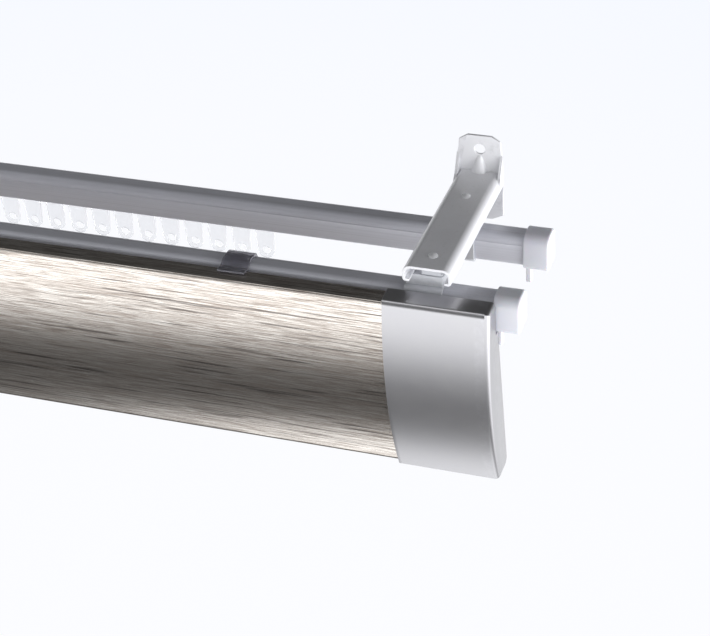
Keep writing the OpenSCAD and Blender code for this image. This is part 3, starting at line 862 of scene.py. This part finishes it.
buildFascia()
for side in ("left", "right"):
    buildFasciaCap(side)
print("fascia and its end caps ready")


# Fascia clips.

clipSizes = {"wall": 1.6 * mm, "gap": 0.1 * mm, "finger": 4 * mm, "lip": 1.2 * mm, "back": 7 * mm,
             "edge": 0.28 * mm, "corner": 0.45 * mm}


# Up behind the rail, over it and down its front, with a finger over the fascia's shelf and one below.
def clipSection(s):
    outer = railOutline(s["gap"] + s["wall"])[9:27]
    inner = railOutline(s["gap"] + 0.02 * mm)[9:27][::-1]
    backY, frontY = outer[0][0], outer[-1][0]
    innerBackY, innerFrontY = inner[-1][0], inner[0][0]
    over = shelfTop + s["gap"]
    under = shelfTop - fasciaSizes["thick"] - fasciaSizes["hook"] - s["gap"]
    tipY = innerFrontY - s["finger"] - s["wall"] - 0.6 * mm
    lipTop = over + s["lip"]
    fingers = filletLoop([(frontY, lipTop), (tipY, lipTop), (tipY, over), (frontY, over),
                          (frontY, under), (tipY, under), (tipY, under - s["wall"]),
                          (innerFrontY, under - s["wall"])],
                         [0.4 * mm, 0.5 * mm, 0.5 * mm, 0.3 * mm, 0.3 * mm, 0.6 * mm, 0.6 * mm, 0.3 * mm])
    heelZ = railTop - s["back"]
    heel = filletLoop([(innerBackY, inner[-1][1]), (innerBackY, heelZ), (backY, heelZ),
                       (backY, outer[0][1])], [0, s["corner"], s["corner"], 0])
    above = outer[outer[:, 1] > lipTop + 0.3 * mm]
    return np.vstack([above, fingers, inner[:-1], heel])


def buildClip(k):
    low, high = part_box(f"fascia_clip_{k}")
    section = clipSection(clipSizes) + (railMiddle["front"], 0)
    clip = makePiece(f"fasciaClip{k}", [skin(alongX(section, roundedEnds(low.x, high.x, clipSizes["edge"])))],
                     materials["clip_smoke"])
    place(clip, "frame", "clip_smoke", f"fascia_clip_{k}")


clipCount = sum(name.startswith("fascia_clip_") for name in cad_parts)
for k in range(1, clipCount + 1):
    buildClip(k)
print("fascia clips ready:", clipCount)


# Gliders.

gliderSizes = {"tongue": 9.5 * mm, "tongueTop": 11.4 * mm, "thick": 1.6 * mm, "eye": 2.5 * mm,
               "edge": 0.4 * mm, "head": 10 * mm, "headHeight": 3 * mm, "headWidth": 10 * mm,
               "neck": 5 * mm, "neckWidth": 3.8 * mm, "slack": 0.3 * mm}


# Outline r(t) round the eye: a half circle below, straight sides that widen to the top. The surface runs
# from the eye over the front edge to the outline and back over the rear edge, closed both ways.
def tongueShell(x, y, low, s):
    half = s["tongue"] / 2
    top = railBottom - s["slack"]
    eyeZ = low.z + half
    rise = top - eyeZ
    widen = math.atan2(rise, s["tongueTop"] / 2)
    t = np.concatenate([np.linspace(-math.pi, 0, 21), np.linspace(0, widen, 9)[1:],
                        np.linspace(widen, math.pi - widen, 9)[1:],
                        np.linspace(math.pi - widen, math.pi, 9)[1:-1]])
    up = np.maximum(np.sin(t), 1e-9)
    lean = (s["tongueTop"] - s["tongue"]) / 2 / rise
    toSide = half / np.maximum(np.abs(np.cos(t)) - lean * up, 1e-9)
    radius = np.where(t <= 0, half, np.minimum(toSide, rise / up))
    e = s["edge"]
    a = np.linspace(0, math.pi / 2, 4)
    flat = s["thick"] / 2
    rings = []
    for sign in (-1, 1):
        eyeRim = [(s["eye"] + e * (1 - math.cos(b)), sign * (flat - e * (1 - math.sin(b)))) for b in a]
        outRim = [(-e * (1 - math.cos(b)), sign * (flat - e * (1 - math.sin(b)))) for b in a[::-1]]
        part = [np.column_stack([r * np.cos(t), np.full(len(t), d), r * np.sin(t)]) for r, d in eyeRim]
        part += [np.column_stack([(radius + r) * np.cos(t), np.full(len(t), d), (radius + r) * np.sin(t)])
                 for r, d in outRim]
        rings += part if sign < 0 else part[::-1]
    return skin(np.stack(rings) + (x, y, eyeZ), closed=True)


# The head that slides in the rail and the neck through its slot, boxes with rounded corners and ends.
def headShells(x, y, high, s):
    bottom = high.z - s["headHeight"]
    head = roundBox(s["headWidth"], high.z, bottom, 0.6 * mm, 0.6 * mm, 4) + (y, 0)
    neck = roundBox(s["neckWidth"], bottom + 0.5 * mm, railBottom - 1.2 * mm, 0.3 * mm, 0.6 * mm, 4) + (y, 0)
    return [skin(alongX(head, roundedEnds(x - s["head"] / 2, x + s["head"] / 2, 0.5 * mm))),
            skin(alongX(neck, roundedEnds(x - s["neck"] / 2, x + s["neck"] / 2, 0.4 * mm)))]


def buildGlider(row, k):
    node = f"glider_{row}_{k}"
    low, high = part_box(node)
    x, y = (low.x + high.x) / 2, (low.y + high.y) / 2
    shells = [tongueShell(x, y, low, gliderSizes), *headShells(x, y, high, gliderSizes)]
    glider = makePiece(f"glider{row.title()}{k}", shells, materials["glider_nylon"], 55)
    place(glider, node, "glider_nylon", node)


gliderCount = sum(name.startswith("glider_rear_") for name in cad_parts)
for row in ("rear", "front"):
    for k in range(1, gliderCount + 1):
        buildGlider(row, k)
print("gliders ready:", 2 * gliderCount)
